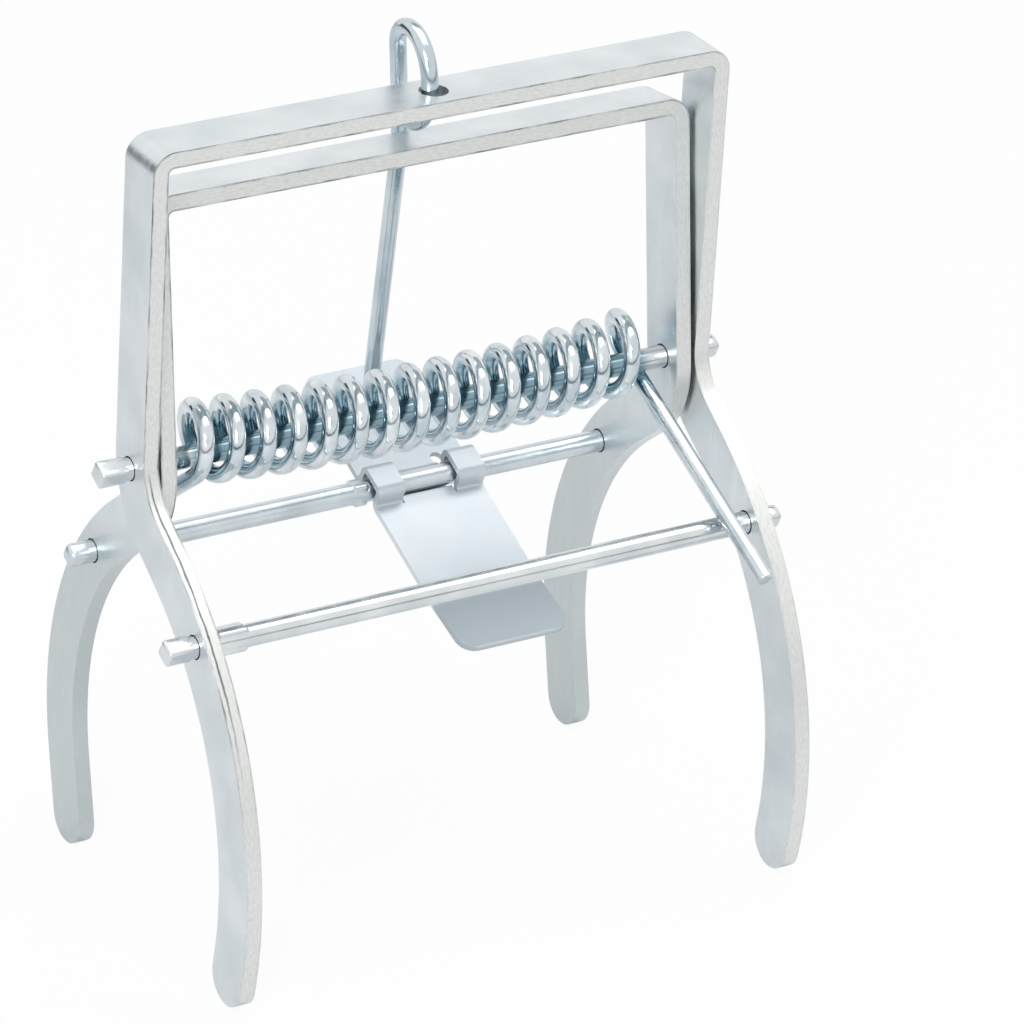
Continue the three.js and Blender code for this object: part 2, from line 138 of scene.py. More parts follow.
def map_range(tree, value, from_range, to_range=(0, 1), smooth=False):
    node = add_node(tree, "MapRange", {"Value": value},
                    interpolation_type="SMOOTHSTEP" if smooth else "LINEAR")
    limits = zip(("From Min", "From Max", "To Min", "To Max"), (*from_range, *to_range))
    for slot, number in limits:
        node.inputs[slot].default_value = number
    return node.outputs["Result"]


def ramp(tree, value, stops, interpolation="LINEAR"):
    """A colour ramp. Its stops are pairs of a place and a colour, in rising order."""
    node = add_node(tree, "ValToRGB", {"Fac": value})
    node.color_ramp.interpolation = interpolation
    marks = node.color_ramp.elements
    marks[0].position, marks[0].color = stops[0]
    marks[1].position, marks[1].color = stops[-1]
    for position, colour in stops[1:-1]:
        marks.new(position).color = colour
    return node.outputs["Color"]


def grey_of(share):
    return (share, share, share, 1)


def mix_colours(tree, share, first, second):
    node = add_node(tree, "Mix", data_type="RGBA")
    for slot, term in ((0, share), (6, first), (7, second)):
        feed(tree, node, slot, term)
    return node.outputs[2]


# %% [markdown]
# ## Floor, backdrop and light
# The trap stands in a white studio. The floor and the world look plain white to the camera and
# in the metal's reflections, but give only soft grey light, so the white comes from the
# backdrop's colour and the trap's own colours stay true. The floor keeps a faint shadow.

# %% Floor and world
bpy.ops.object.select_all(action="DESELECT")
bpy.ops.mesh.primitive_plane_add(size=6)
floor = bpy.context.object
floor.name = "studio_floor"

floor_paper, tree = new_material("white_paper_floor")
rays = add_node(tree, "LightPath")
matte = add_node(tree, "BsdfDiffuse", Color=linear("f2f2f2"))
glow = add_node(tree, "Emission", Color=linear("ffffff"), Strength=1.0)
seen_share = calculate(tree, "MULTIPLY", rays.outputs["Is Camera Ray"], 0.93)
mirror_share = calculate(tree, "MULTIPLY", rays.outputs["Is Glossy Ray"], 0.15)
white_share = calculate(tree, "MAXIMUM", seen_share, mirror_share)
paper = add_node(tree, "MixShader", {0: white_share, 1: matte.outputs[0], 2: glow.outputs[0]})
add_node(tree, "OutputMaterial", {"Surface": paper.outputs[0]})
floor.data.materials.append(floor_paper)

world = bpy.data.worlds.new("white_studio")
scene.world = world
world.use_nodes = True
tree = world.node_tree
tree.nodes.clear()
rays = add_node(tree, "LightPath")
seen = calculate(tree, "MAXIMUM", rays.outputs["Is Camera Ray"], rays.outputs["Is Glossy Ray"])
seen = calculate(tree, "MAXIMUM", seen, rays.outputs["Is Transmission Ray"])
soft = add_node(tree, "Background", Color=linear("eef2f6"), Strength=0.55)
white = add_node(tree, "Background", Color=linear("ffffff"), Strength=1.0)
sky = add_node(tree, "MixShader", {0: seen, 1: soft.outputs[0], 2: white.outputs[0]})
add_node(tree, "OutputWorld", {"Surface": sky.outputs[0]})


# %% Lamps
def soft_box(name, place, aim, size, power):
    bpy.ops.object.light_add(type="AREA", location=place)
    lamp = bpy.context.object
    lamp.name = name
    lamp.rotation_mode = "QUATERNION"
    lamp.rotation_quaternion = (Vector(place) - Vector(aim)).to_track_quat("Z", "Y")
    lamp.data.shape = "RECTANGLE"
    lamp.data.size, lamp.data.size_y = size
    lamp.data.energy = power
    return lamp


trap_middle = (0, 0, 0.08)
soft_box("overhead_box", (0.3, 0.0, 1.15), (0.3, 0, 0), (1.3, 1.0), 6.6)
soft_box("front_left_box", (-0.9, -0.9, 0.7), trap_middle, (0.5, 0.5), 9)

# %% [markdown]
# ## Picking edges and faces
# Many later steps need just some edges or faces of a piece, such as the ones at a claw's tip.
# A rule over their place picks them, which is what one does by eye and mouse at the screen.

# %% Selecting by place
def only_select(piece):
    bpy.ops.object.select_all(action="DESELECT")
    piece.select_set(True)
    bpy.context.view_layer.objects.active = piece


def pick(piece, kind, wanted):
    """Enters edit mode with just the edges or faces selected that the rule wants."""
    only_select(piece)
    bpy.ops.object.mode_set(mode="EDIT")
    bpy.ops.mesh.select_mode(type=kind)
    bpy.ops.mesh.select_all(action="DESELECT")
    bpy.ops.object.mode_set(mode="OBJECT")
    for item in piece.data.edges if kind == "EDGE" else piece.data.polygons:
        item.select = wanted(item)
    bpy.ops.object.mode_set(mode="EDIT")


def leave_edit():
    bpy.ops.mesh.select_mode(type="VERT")
    bpy.ops.object.mode_set(mode="OBJECT")


# %% [markdown]
# ## Cards for the reflections
# Bright metal has no look of its own: it shows the room. In a photographer's tent the room is
# white, except for the dark slit where the walls meet the table and the dark hole that the lens
# looks through. Those two draw the thin dark lines on the rods and the dark flecks on the coils.
# A darker corner of the tent, behind at the left, shows in the sides that face left. A grey card
# above and behind takes the glare off the lower lip of the plate. The cards show in reflections
# only, as if they stood outside the picture.

# %% Reflection cards
def reflection_card(card, name, grey):
    card.name = name
    paper, tree = new_material(name + "_paper")
    flat = add_node(tree, "Emission", Color=linear(grey), Strength=1.0)
    add_node(tree, "OutputMaterial", {"Surface": flat.outputs[0]})
    card.data.materials.append(paper)
    card.visible_camera = False
    card.visible_shadow = False
    card.visible_diffuse = False


def stand_card(name, place, facing, size, grey):
    """Width goes along the level and height across it, for a card that isn't laid flat."""
    bpy.ops.object.select_all(action="DESELECT")
    bpy.ops.mesh.primitive_plane_add(size=1)
    card = bpy.context.object
    card.scale = (size[0], size[1], 1)
    card.rotation_mode = "QUATERNION"
    card.rotation_quaternion = Vector(facing).to_track_quat("Z", "Y")
    card.location = place
    bpy.ops.object.transform_apply(location=True, rotation=True, scale=True)
    reflection_card(card, name, grey)


bpy.ops.object.select_all(action="DESELECT")
bpy.ops.mesh.primitive_cylinder_add(
    vertices=96, radius=1.25, depth=0.11, end_fill_type="NOTHING", location=(0, 0, 0.085))
bpy.ops.object.transform_apply(location=True, rotation=True, scale=True)
slit = bpy.context.object
# The tent is open at the back, so the slit runs along its sides and its front only
pick(slit, "FACE", lambda face: face.center.y > 0.3)
bpy.ops.mesh.delete(type="FACE")
leave_edit()
reflection_card(slit, "tent_slit", "788086")
stand_card("lens_hole", Vector(trap_middle) - sight, sight, (0.26, 0.2), "70787e")
stand_card("tent_corner", (-0.7, 0.84, 0.2), (0.64, -0.77, 0), (0.6, 0.46), "4a5258")
stand_card("lip_card", (0.5, 0.46, 0.86), (0, 0, -1), (1.0, 0.42), "b0b6b9")

# %% [markdown]
# ## Zinc on flat strap
# Bright zinc is electroplated on cold-rolled steel. It is a metal with a slight blue tint, and
# the rolled surface below leaves it satin, with faint clouds a centimetre or two wide and fine
# streaks along the strap. Noise textures on Object coordinates give both, at their real size.
# A second, darker tint is painted shade: it darkens the insides of the coils, the axle within
# them, the plate's lip, ears and flag, and the rear claws towards the floor.

# %% Where the painted shade falls
def unshaded_share(tree, place, clear_from=None, clear_beyond=None, clear_along=None):
    """How much painted shade a place gets: 0 where it is fully shaded, 1 where it has none.

    From a line: the height of a line along X, and the distances from it where the painted shade
    starts to fade and is gone. Beyond: two such distances from the trap's middle along X. Along: an
    axis and stops along it, each with its share. All lengths are in millimetres.
    """
    if clear_from:
        level, shaded_to, unshaded_at = clear_from
        centred = add_node(tree, "Mapping", {"Vector": place},
                           Location=(0, 0, -level * MM), Scale=(0, 1, 1))
        away = add_node(tree, "VectorMath", {0: centred.outputs[0]}, operation="LENGTH")
        return map_range(tree, away.outputs["Value"], (shaded_to * MM, unshaded_at * MM), smooth=True)
    parts = add_node(tree, "SeparateXYZ", {"Vector": place})
    if clear_beyond:
        sideways = calculate(tree, "ABSOLUTE", parts.outputs["X"])
        return map_range(tree, sideways, [mm * MM for mm in clear_beyond], smooth=True)
    axis, stops = clear_along
    low, high = stops[0][0], stops[-1][0]
    span = map_range(tree, parts.outputs[axis], (low * MM, high * MM))
    marks = [((mm - low) / (high - low), grey_of(share)) for mm, share in stops]
    return map_range(tree, ramp(tree, span, marks, "EASE"), (0, 1), smooth=True)


# %% Zinc materials
def zinc(name, dark, light, roughness, cloud_mm, grain_mm, bump,
         painted_shade=None, metal_share=1.0, gloss_spread=0.22, **where):
    """Plated steel: soft clouds between two tints, and a rolled or drawn grain in its gloss."""
    material, tree = new_material(name)
    place = add_node(tree, "TexCoord").outputs["Object"]
    clouds = add_node(tree, "TexNoise", {"Vector": place}, Scale=1000 / cloud_mm, Detail=3.0)
    colour = ramp(tree, clouds.outputs["Fac"], [(0.32, linear(dark)), (0.68, linear(light))])
    # The optional darker tint is painted shade, mixed in by each place's share
    if painted_shade:
        colour = mix_colours(tree, unshaded_share(tree, place, **where), linear(painted_shade), colour)
    per_metre = tuple(1000 / mm for mm in grain_mm)
    stretched = add_node(tree, "Mapping", {"Vector": place}, Scale=per_metre)
    grain = add_node(tree, "TexNoise", {"Vector": stretched.outputs[0]}, Scale=1.0, Detail=4.0)
    gloss = map_range(tree, grain.outputs["Fac"], (0.3, 0.7),
                      (roughness * (1 - gloss_spread), roughness * (1 + gloss_spread)))
    relief = add_node(
        tree, "Bump", {"Height": grain.outputs["Fac"]}, Strength=bump, Distance=0.0001)
    metal = add_node(tree, "BsdfPrincipled", {
        "Base Color": colour,
        "Roughness": gloss,
        "Normal": relief.outputs["Normal"],
    }, Metallic=metal_share)
    add_node(tree, "OutputMaterial", {"Surface": metal.outputs[0]})
    return material


strap_zinc = zinc("satin_zinc_on_rolled_strap", "d3dadd", "e4e8ea", 0.34, 13, (1.4, 1.4, 9), 0.2)
rod_zinc = zinc("bright_zinc_on_drawn_rod", "ced3d5", "e4e7e8", 0.19, 9, (11, 0.9, 0.9), 0.08)
dull_rod_zinc = zinc("satin_zinc_on_rear_rod", "c6d0d5", "dde4e7", 0.29, 9, (11, 0.9, 0.9), 0.07)
# The inner side of each coil, near the axle's line, gets painted shade
spring_zinc = zinc("bright_zinc_on_spring_wire", "bfcbd1", "e3e9eb", 0.13, 5, (1.6, 1.6, 1.6), 0.1,
                   painted_shade="9fb8c3", clear_from=(85.9, 4.7, 6.4))
# A copy of the rod's zinc with painted shade along the stretch inside the coils, out to 44 mm each
# side
axle_zinc = zinc("bright_zinc_on_the_axle", "ced3d5", "e4e7e8", 0.19, 9, (11, 0.9, 0.9), 0.08,
                 painted_shade="86a1ac", clear_beyond=(44, 47))
latch_zinc = zinc("bright_zinc_on_latch_wire", "aebfc7", "d3dce0", 0.16, 12, (1, 1, 12), 0.15)
# Painted shade on the lip, most of the flag and part of the ears; the tongue and the lip's rim keep
# the plain tints
sheet_zinc = zinc("satin_zinc_on_thin_sheet", "d6dde2", "e1e6ea", 0.46, 16, (3, 12, 3), 0.004,
                  painted_shade="b6bfc4", metal_share=0.75, gloss_spread=0.04, clear_along=(
                      "Y", ((-20, 1), (-15.55, 1), (-15.2, 0), (-5.6, 0), (-3.4, 1),
                            (13.5, 1), (16.5, 0.5), (22, 0.2), (50, 0.2))))
# A copy of the strap's zinc with painted shade, full below 55 mm and gone by 76 mm, so the rear claws
# are darker near the floor
claw_zinc = zinc("satin_zinc_on_rear_claws", "d3dadd", "e4e8ea", 0.34, 13, (1.4, 1.4, 9), 0.2,
                 painted_shade="c9d0d1", clear_along=("Z", ((0, 0), (55, 0), (76, 1), (100, 1))))

# %% [markdown]
# ## The sheared edge
# The strap is cut from sheet by a shear. The cut side is warmer and rougher than the rolled
# face: the blade burnishes the first part and then the steel tears, which leaves a dark, wavy
# line along each border. The lines follow the edge round every bend, so the pattern reads a UV
# map that runs along the edge (U, in centimetres) and across it (V, from 0 to 1).

# %% Sheared edge material
def sheared_edge(name, pale, shade, line):
    """Grey steel between a shade and a pale tint, with dark lines along it."""
    material, tree = new_material(name)
    where = add_node(tree, "UVMap", uv_map="along_edge").outputs["UV"]
    parts = add_node(tree, "SeparateXYZ", {"Vector": where})
    wander = add_node(tree, "TexNoise", {"Vector": where}, Scale=2.2, Detail=5.0, Roughness=0.65)
    sway = map_range(tree, wander.outputs["Fac"], (0, 1), (-0.16, 0.16))
    across = calculate(tree, "ADD", parts.outputs["Y"], sway)
    # U reaches this many centimetres where a leg meets its bar
    top_of_leg = 20
    along = calculate(tree, "DIVIDE", parts.outputs["X"], top_of_leg)

    # A line runs along each border, stronger in some patches than in others
    from_middle = calculate(tree, "ABSOLUTE", calculate(tree, "SUBTRACT", across, 0.5))
    at_line = map_range(tree, from_middle, (0.36, 0.46), smooth=True)
    patches = add_node(tree, "TexNoise", {"Vector": where}, Scale=1.3, Detail=2.0)
    strength = map_range(tree, patches.outputs["Fac"], (0.35, 0.65), (0.15, 0.9))
    border = calculate(tree, "MULTIPLY", at_line, strength)
    # It is full on the bars and the upper left leg, and faint on the claws and the right leg
    fades = ramp(tree, along, [
        (0.275, grey_of(1)), (0.285, grey_of(0.15)), (0.46, grey_of(0.15)),
        (0.56, grey_of(1)), (0.985, grey_of(1)), (1.0, grey_of(0.2))])
    border = calculate(tree, "MULTIPLY", border, fades)

    # Below the axle the steel tore further in, so one more dark line wanders along the edge there
    tear_gap = calculate(tree, "ABSOLUTE", calculate(tree, "SUBTRACT", across, 0.64))
    tear = map_range(tree, tear_gap, (0.02, 0.1), (0.95, 0.0), smooth=True)
    below_axle = ramp(tree, along, [
        (0.49, grey_of(0)), (0.58, grey_of(1)), (0.69, grey_of(1)), (0.71, grey_of(0))])
    tear = calculate(tree, "MULTIPLY", tear, below_axle)
    dark = calculate(tree, "MAXIMUM", border, tear)

    torn = add_node(tree, "TexNoise", {"Vector": where}, Scale=9.0, Detail=6.0, Roughness=0.7)
    body = ramp(tree, torn.outputs["Fac"], [(0.3, linear(shade)), (0.62, linear(pale))])
    relief = add_node(tree, "Bump", {"Height": torn.outputs["Fac"]}, Strength=0.35, Distance=0.0002)
    metal = add_node(tree, "BsdfPrincipled", {
        "Base Color": mix_colours(tree, dark, body, linear(line)),
        "Normal": relief.outputs["Normal"],
    }, Metallic=0.85, Roughness=0.42)
    add_node(tree, "OutputMaterial", {"Surface": metal.outputs[0]})
    return material


strap_edge = sheared_edge("sheared_strap_edge", "e8e9e5", "d2d4d2", "6a6f70")

# %% [markdown]
# ## Bending strap by hand
# A strap is a flat section that is pulled along a path. In edit mode that is one face, which
# extrude moves straight on and spin swings round a bend. This small class remembers where the
# face is and which way it looks, so a bent strap reads like the bender's own list: so far
# straight, then so many degrees round such a radius.

# %% A face that is pulled along a path
class Bender:
    """Pulls the selected face along straight runs and round bends that lie in one plane."""

    def __init__(self, at, heading, axis):
        self.at = Vector(at)
        self.heading = Vector(heading).normalized()
        self.axis = Vector(axis).normalized()

    def run(self, length):
        step = self.heading * length
        bpy.ops.mesh.extrude_region_move(TRANSFORM_OT_translate={"value": step})
        self.at = self.at + step

    def turn(self, angle, radius, steps):
        """A positive angle turns to the left of the heading, as seen against the axis."""
        left = self.axis.cross(self.heading) * (1 if angle > 0 else -1)
        centre = self.at + left * radius
        bpy.ops.mesh.spin(steps=steps, angle=-angle, center=centre, axis=self.axis)
        swing = Quaternion(self.axis, angle)
        self.at = centre + swing @ (self.at - centre)
        self.heading = swing @ self.heading


def flat_section(name, at, rotation, size):
    """A plane of that size, ready in edit mode with its one face selected."""
    bpy.ops.object.select_all(action="DESELECT")
    bpy.ops.mesh.primitive_plane_add(size=1, location=at, rotation=rotation)
    piece = bpy.context.object
    piece.name = name
    piece.scale = (size[0], size[1], 1)
    bpy.ops.object.transform_apply(location=True, rotation=True, scale=True)
    bpy.ops.object.mode_set(mode="EDIT")
    bpy.ops.mesh.select_all(action="SELECT")
    return piece


# %% Drilling and softening
def apply_modifier(piece, kind, **settings):
    only_select(piece)
    modifier = piece.modifiers.new(kind.title(), kind)
    for name, value in settings.items():
        setattr(modifier, name, value)
    bpy.ops.object.modifier_apply(modifier=modifier.name)


def face_outwards(piece):
    only_select(piece)
    bpy.ops.object.mode_set(mode="EDIT")
    bpy.ops.mesh.select_all(action="SELECT")
    bpy.ops.mesh.remove_doubles(threshold=0.000002)
    bpy.ops.mesh.normals_make_consistent(inside=False)
    bpy.ops.object.mode_set(mode="OBJECT")


def drill(piece, place, axis, diameter, length):
    """Cuts a round hole with a cylinder, as a drill or a punch would."""
    bpy.ops.object.select_all(action="DESELECT")
    turned = Vector((0, 0, 1)).rotation_difference(Vector(axis)).to_euler()
    bpy.ops.mesh.primitive_cylinder_add(
        vertices=48, radius=diameter / 2, depth=length, location=place, rotation=turned)
    cutter = bpy.context.object
    apply_modifier(piece, "BOOLEAN", object=cutter, operation="DIFFERENCE", solver="EXACT")
    bpy.data.objects.remove(cutter)


def soften(piece, width, segments=3, angle=35):
    """Rounds the sharp edges a little, so that they catch the light, and shades the rest smooth."""
    apply_modifier(piece, "BEVEL", width=width, segments=segments, limit_method="ANGLE",
                   angle_limit=math.radians(angle), use_clamp_overlap=True)
    only_select(piece)
    bpy.ops.object.shade_smooth_by_angle(angle=math.radians(30))
    # Large flat faces keep their own direction, so that the small bevels don't shade into them
    apply_modifier(piece, "WEIGHTED_NORMAL", keep_sharp=True)


# %% [markdown]
# ## The strap frames
# Each frame is one length of 9.7 x 3 mm strap, bent to an upside-down U on its flat. Below the
# axle its legs sweep out edgeways into claws with round tips. Both halves are alike, so the left
# half is bent and a Mirror modifier makes the other. The frame is made upright, drilled, and
# then leaned about the axle, the way that it stands when the trap is set.

# %% Sizes of the frames
axle_height = 85 * MM
strap_width = 9.7 * MM
strap_thick = 3 * MM
bend_inside = 1.1 * MM
rod_hole = 4.4 * MM
latch_hole = 5.2 * MM
# Where the two cross rods lie, behind and below the axle
front_rod_back = -23.7 * MM
front_rod_drop = 23.2 * MM
rear_rod_back = 19.3 * MM
rear_rod_drop = 24.4 * MM

outer_shape = {
    "half": 56.6 * MM, "rise": 59.7 * MM, "lean": math.radians(1.7), "side": -1,
    "drop": -3 * MM, "turn": math.radians(57), "radius": 15 * MM, "run": 5.97 * MM,
    "sweep": math.radians(66.5), "tip": 2 * MM,
    "rod": Vector((0, front_rod_back, -front_rod_drop)),
}
inner_shape = {
    "half": 53 * MM, "rise": 48.5 * MM, "lean": math.radians(-5.95), "side": 1,
    "drop": 0.5 * MM, "turn": math.radians(58.5), "radius": 13 * MM, "run": 5.5 * MM,
    "sweep": math.radians(63), "tip": 12.2 * MM,
    "rod": Vector((0, rear_rod_back, -rear_rod_drop)),
}


def sweep_radius(shape):
    """The wide sweep's radius, with which the round tip all but touches the floor."""
    turned, lean = shape["turn"], abs(shape["lean"])
    ended = turned - shape["sweep"]
    out_at = shape["radius"] * (1 - math.cos(turned)) + shape["run"] * math.sin(turned)
    down_at = shape["drop"] + shape["radius"] * math.sin(turned) + shape["run"] * math.cos(turned)
    above = down_at * math.cos(lean) + out_at * math.sin(lean)
    below = shape["tip"] * math.cos(ended - lean) + strap_width / 2
    per_radius = ((math.sin(turned) - math.sin(ended)) * math.cos(lean)
                  + (math.cos(ended) - math.cos(turned)) * math.sin(lean))
    return (axle_height - 0.03 * MM - above - below) / per_radius


def upright(point, shape, back=False):
    """Where a point of the leaning frame lies while the frame is still upright, or the way back."""
    return Matrix.Rotation(shape["lean"] if back else -shape["lean"], 3, "X") @ point


# %% Bend one frame
def bend_frame(name, shape):
    half, rise, side = shape["half"], shape["rise"], shape["side"]
    middle_bend = bend_inside + strap_thick / 2
    bar_level = rise - strap_thick / 2
    piece = flat_section(
        name, (0, 0, bar_level), (0, math.radians(90), 0), (strap_thick, strap_width))
    bar = Bender((0, 0, bar_level), (-1, 0, 0), (0, -1, 0))
    bar.run(half - strap_thick / 2 - middle_bend)
    bar.turn(math.radians(90), middle_bend, 16)
    leg = Bender(bar.at, (0, 0, -1), (side, 0, 0))
    leg.run(bar.at.z + shape["drop"])
    leg.turn(shape["turn"], shape["radius"], 24)
    leg.run(shape["run"])
    leg.turn(-shape["sweep"], sweep_radius(shape), 40)
    leg.run(shape["tip"] + strap_width / 2)
    bpy.ops.object.mode_set(mode="OBJECT")

    def at_tip(edge):
        ends = [piece.data.vertices[i].co for i in edge.vertices]
        in_end_face = all((co - leg.at).dot(leg.heading) > -0.2 * MM for co in ends)
        return in_end_face and abs(ends[0].x - ends[1].x) > strap_thick / 2

    # The two short edges of the end face are rounded until they meet
    pick(piece, "EDGE", at_tip)
    bpy.ops.mesh.bevel(offset=strap_width / 2 * 0.995, segments=9, affect="EDGES")
    leave_edit()
    lowest = axle_height + min(upright(v.co, shape, back=True).z for v in piece.data.vertices)
    print(name, "claw tips reach down to", round(lowest / MM, 2), "mm above the floor")
    # The face on the mirror's plane would be shut inside the bar, so it goes first
    pick(piece, "FACE",
         lambda face: abs(face.normal.x) > 0.9 and abs(face.center.x) < 0.01 * MM)
    bpy.ops.mesh.delete(type="FACE")
    leave_edit()
    apply_modifier(piece, "MIRROR", use_axis=(True, False, False), merge_threshold=0.00001)
    face_outwards(piece)
    return piece


# %% Map the sheared sides, and lean the frame
def map_edges(piece, shape):
    """Marks the sheared sides with their own material and runs the UV map along them."""
    half, rise = shape["half"], shape["rise"]
    piece.data.materials.clear()
    piece.data.materials.append(strap_zinc if shape["side"] < 0 else claw_zinc)
    piece.data.materials.append(strap_edge)
    layer = piece.data.uv_layers.new(name="along_edge")
    in_bar = rise - bend_inside - strap_thick
    for face in piece.data.polygons:
        bar = face.center.z > in_bar
        sheared = abs(face.normal.y) > 0.72 if bar else abs(face.normal.x) < 0.6
        # The inner frame's claws were tumbled smooth, so their edges look like their faces
        if shape["side"] > 0 and face.center.z < -12 * MM:
            sheared = False
        face.material_index = 1 if sheared else 0
        for loop in face.loop_indices:
            co = piece.data.vertices[piece.data.loops[loop].vertex_index].co
            past_bar = max(0, abs(co.x) - (half - bend_inside - strap_thick))
            corner = math.hypot(past_bar, max(0, co.z - in_bar))
            if bar and past_bar > 0:
                inside = corner - bend_inside
            elif bar:
                inside = co.z - (rise - strap_thick)
            else:
                inside = abs(co.x) - (half - strap_thick)
            # The right side was sheared cleaner, so its part of the map lies past all the lines
            along = co.x if bar else co.z - rise + (200 if co.x < 0 else 600) * MM
            layer.data[loop].uv = (along * 100, inside / strap_thick)


def lean_frame(piece, shape):
    """Leans the upright frame about the axle and lifts it to the axle's height."""
    only_select(piece)
    piece.rotation_euler = (shape["lean"], 0, 0)
    piece.location = (0, 0, axle_height)
    bpy.ops.object.transform_apply(location=True, rotation=True, scale=True)


# %% [markdown]
# ## The holes in the frames
# Three holes go through the outer frame: one for the axle, one for the front rod, and one in the
# middle of the bar for the latch rod's eye. The inner frame has the axle's hole and the rear
# rod's. They are drilled before the edges are softened, so the rims of the holes are softened
# too.

# %% Outer frame
outer = bend_frame("outer_strap_frame", outer_shape)
through = 2 * (outer_shape["half"] + 2 * MM)
drill(outer, (0, 0, 0), (1, 0, 0), rod_hole, through)
drill(outer, upright(outer_shape["rod"], outer_shape), (1, 0, 0), rod_hole, through)
drill(outer, (-0.2 * MM, 0, outer_shape["rise"]), (0, 0, 1), latch_hole, 10 * MM)
soften(outer, 0.3 * MM)
map_edges(outer, outer_shape)
lean_frame(outer, outer_shape)
print("outer frame has", len(outer.data.polygons), "faces")

# %% Inner frame
inner = bend_frame("inner_strap_frame", inner_shape)
drill(inner, (0, 0, 0), (1, 0, 0), rod_hole, through)
drill(inner, upright(inner_shape["rod"], inner_shape), (1, 0, 0), rod_hole, through)
soften(inner, 0.4 * MM)
map_edges(inner, inner_shape)
lean_frame(inner, inner_shape)
print("inner frame has", len(inner.data.polygons), "faces")

# %% [markdown]
# ## The rods
# Three lengths of 4 mm rod hold the trap together. After they were pushed through the frames,
# their ends were squeezed square in a press, which also pinched a shallow facet between the
# square and the round. A square prism on the end of a cylinder, with its inner end tapered until
# it sinks into the rod, leaves just those facets.

# %% Rod with squared ends
rod_width = 4 * MM
squared_side = 3.6 * MM
squared_turn = math.radians(28)
# How long the two ends of a pressed mark take to run out, towards the left and the right
mark_tapers = (0.9 * MM, 1.3 * MM)


def round_bar(name, x_from, x_to, width):
    bpy.ops.object.select_all(action="DESELECT")
    bpy.ops.mesh.primitive_cylinder_add(
        vertices=48, radius=width / 2, depth=x_to - x_from,
        location=((x_from + x_to) / 2, 0, 0), rotation=(0, math.radians(90), 0))
    piece = bpy.context.object
    piece.name = name
    bpy.ops.object.transform_apply(location=True, rotation=True, scale=True)
    return piece


def squeeze(rod, x_from, x_to, size, turned, tapers, corner):
    """Adds a squeezed stretch: a block with rounded corners whose ends taper into the rod."""
    bpy.ops.object.select_all(action="DESELECT")
    bpy.ops.mesh.primitive_cube_add(size=1, location=((x_from + x_to) / 2, 0, 0))
    block = bpy.context.object
    block.scale = (x_to - x_from, size[0], size[1])
    bpy.ops.object.transform_apply(location=True, rotation=True, scale=True)
    bpy.ops.object.mode_set(mode="EDIT")
    bpy.ops.mesh.select_mode(type="FACE")
    for side, taper in zip((-1, 1), tapers):
        if not taper:
            continue
        bpy.ops.mesh.select_all(action="DESELECT")
        shape = bmesh.from_edit_mesh(block.data)
        for face in shape.faces:
            face.select_set(face.normal.x * side > 0.9)
        bmesh.update_edit_mesh(block.data)
        bpy.ops.mesh.extrude_region_move(TRANSFORM_OT_translate={"value": (side * taper, 0, 0)})
        bpy.ops.transform.resize(value=(1, 0.62, 0.62))
    bpy.ops.mesh.select_mode(type="VERT")
    bpy.ops.object.mode_set(mode="OBJECT")
    apply_modifier(block, "BEVEL", width=corner, segments=3, limit_method="ANGLE",
                   angle_limit=math.radians(50))
    block.rotation_euler = (turned, 0, 0)
    only_select(block)
    bpy.ops.object.transform_apply(location=True, rotation=True, scale=True)
    apply_modifier(rod, "BOOLEAN", object=block, operation="UNION", solver="EXACT")
    bpy.data.objects.remove(block)


# %% One whole rod
def make_rod(name, half, past, line, corners, marks=(), finish=rod_zinc):
    """A rod that stands out by past at each end, with a squared end outside each leg."""
    stand_off = 1.2 * MM
    sunk = 0.3 * MM
    taper = 0.9 * MM
    start = half + stand_off
    left, right = half + past[0], half + past[1]
    rod = round_bar(name, -start - sunk, start + sunk, rod_width)
    crimp = (squared_side, squared_side)
    squeeze(rod, -left, -start, crimp, squared_turn, (0, taper), corners[0])
    squeeze(rod, start, right, crimp, squared_turn, (taper, 0), corners[1])
    for x_from, x_to, size in marks:
        squeeze(rod, x_from, x_to, size, 0, mark_tapers, 0.55 * MM)
    rod.data.materials.clear()
    rod.data.materials.append(finish)
    rod.location = line
    only_select(rod)
    bpy.ops.object.transform_apply(location=True, rotation=True, scale=True)
    bpy.ops.object.shade_smooth_by_angle(angle=math.radians(30))
    return rod


# %% Axle, front rod and rear rod
outer_half = outer_shape["half"]
inner_half = inner_shape["half"]
front_line = Vector((0, front_rod_back, axle_height - front_rod_drop))
rear_line = Vector((0, rear_rod_back, axle_height - rear_rod_drop))
axle = make_rod("round_axle", outer_half, (6.2 * MM, 4.6 * MM), (0, 0, axle_height),
                (0.45 * MM, 1.1 * MM), finish=axle_zinc)
# The pad starts 0.3 mm inside the left leg, and the mark ends just before the plate
pad_from = -(outer_half - strap_thick - 0.3 * MM - mark_tapers[0])
front_rod = make_rod(
    "front_cross_rod", outer_half, (5.8 * MM, 3.8 * MM), front_line, (0.6 * MM, 1.2 * MM),
    [(pad_from, pad_from + 5 * MM, (3.4 * MM, 4.5 * MM))])
mark_to = 0.8 * MM
rear_rod = make_rod(
    "rear_cross_rod", inner_half, (5 * MM, 5 * MM), rear_line, (1.15 * MM, 0.9 * MM),
    [(mark_to - 2 * MM, mark_to, (3.72 * MM, 4.12 * MM))], finish=dull_rod_zinc)
print("rods:", [len(r.data.polygons) for r in (axle, front_rod, rear_rod)], "faces")

# %% [markdown]
# ## The torsion spring
# Fifteen coils of 3 mm wire sit loosely round the axle. At the right the wire leaves the coils
# low at the back and runs down forwards over the front rod, and at the left it leaves low in
# front and runs back over the rear rod, so the twist pushes the two pairs of claws together. A
# curve with a round bevel is the natural way to make wire: its points are the helix, and the
# straight legs follow the tangents.

